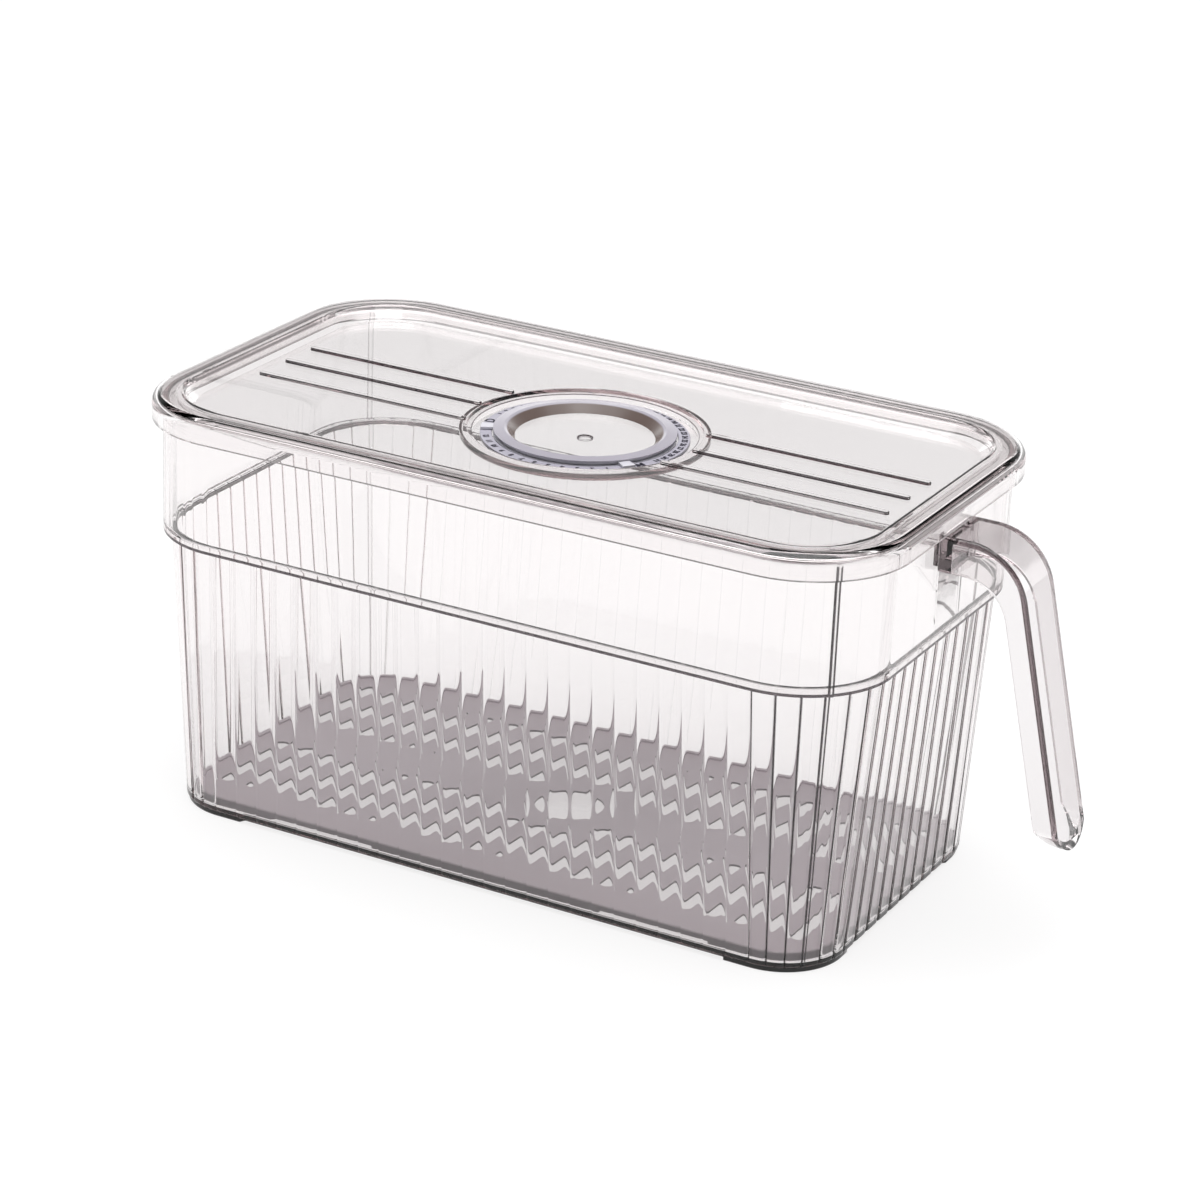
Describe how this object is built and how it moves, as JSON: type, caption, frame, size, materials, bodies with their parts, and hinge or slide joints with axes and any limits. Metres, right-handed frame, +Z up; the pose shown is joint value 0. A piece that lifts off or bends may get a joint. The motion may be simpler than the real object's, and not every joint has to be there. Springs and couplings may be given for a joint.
{
  "type": "fridge bin",
  "caption": "Clear reeded storage bin for a refrigerator with a drop handle, a lift-off lid with a date dial, and a slotted drain tray.",
  "frame": {"origin": "centre of the tub's base, on the plane that it stands on", "axes": "+X along the length towards the handle, +Z up, -Y to the long side that is nearer in the reference view"},
  "size_m": [0.3506, 0.17, 0.161],
  "materials": {
    "clear_shell": "high gloss clear polymer with a faint smoky tint",
    "clear_handle": "high gloss clear polymer with a faint warm grey tint",
    "clear_lid": "high gloss clear polymer with a faint smoky tint",
    "seal": "satin translucent silicone",
    "dial_grey": "satin translucent lavender grey",
    "dial_pointer": "satin pale grey",
    "tray_grey": "satin translucent lavender grey"
  },
  "bodies": {
    "tub": {"bin_body": "clear_shell", "handle": "clear_handle"},
    "lid_set": {"lid": "clear_lid", "lid_seal": "seal", "dial_plate": "dial_grey", "dial_cap": "dial_grey"},
    "day_ring": {"day_pointer": "dial_pointer"},
    "month_ring": {"month_pointer": "dial_pointer"},
    "tray": {"drain_tray": "tray_grey"}
  },
  "joints": [
    {"name": "lid_lift", "type": "slide", "parent": "tub", "child": "lid_set", "axis": [0, 0, 1], "range_m": [0, 0.1]},
    {"name": "tray_lift", "type": "slide", "parent": "tub", "child": "tray", "axis": [0, 0, 1], "range_m": [0, 0.12]},
    {"name": "day_set", "type": "hinge", "parent": "lid_set", "child": "day_ring", "pos_m": [0, 0, 0.154], "axis": [0, 0, 1], "range_deg": [-220, 0]},
    {"name": "month_set", "type": "hinge", "parent": "lid_set", "child": "month_ring", "pos_m": [0, 0, 0.153], "axis": [0, 0, 1], "range_deg": [-105, 0]}
  ]
}
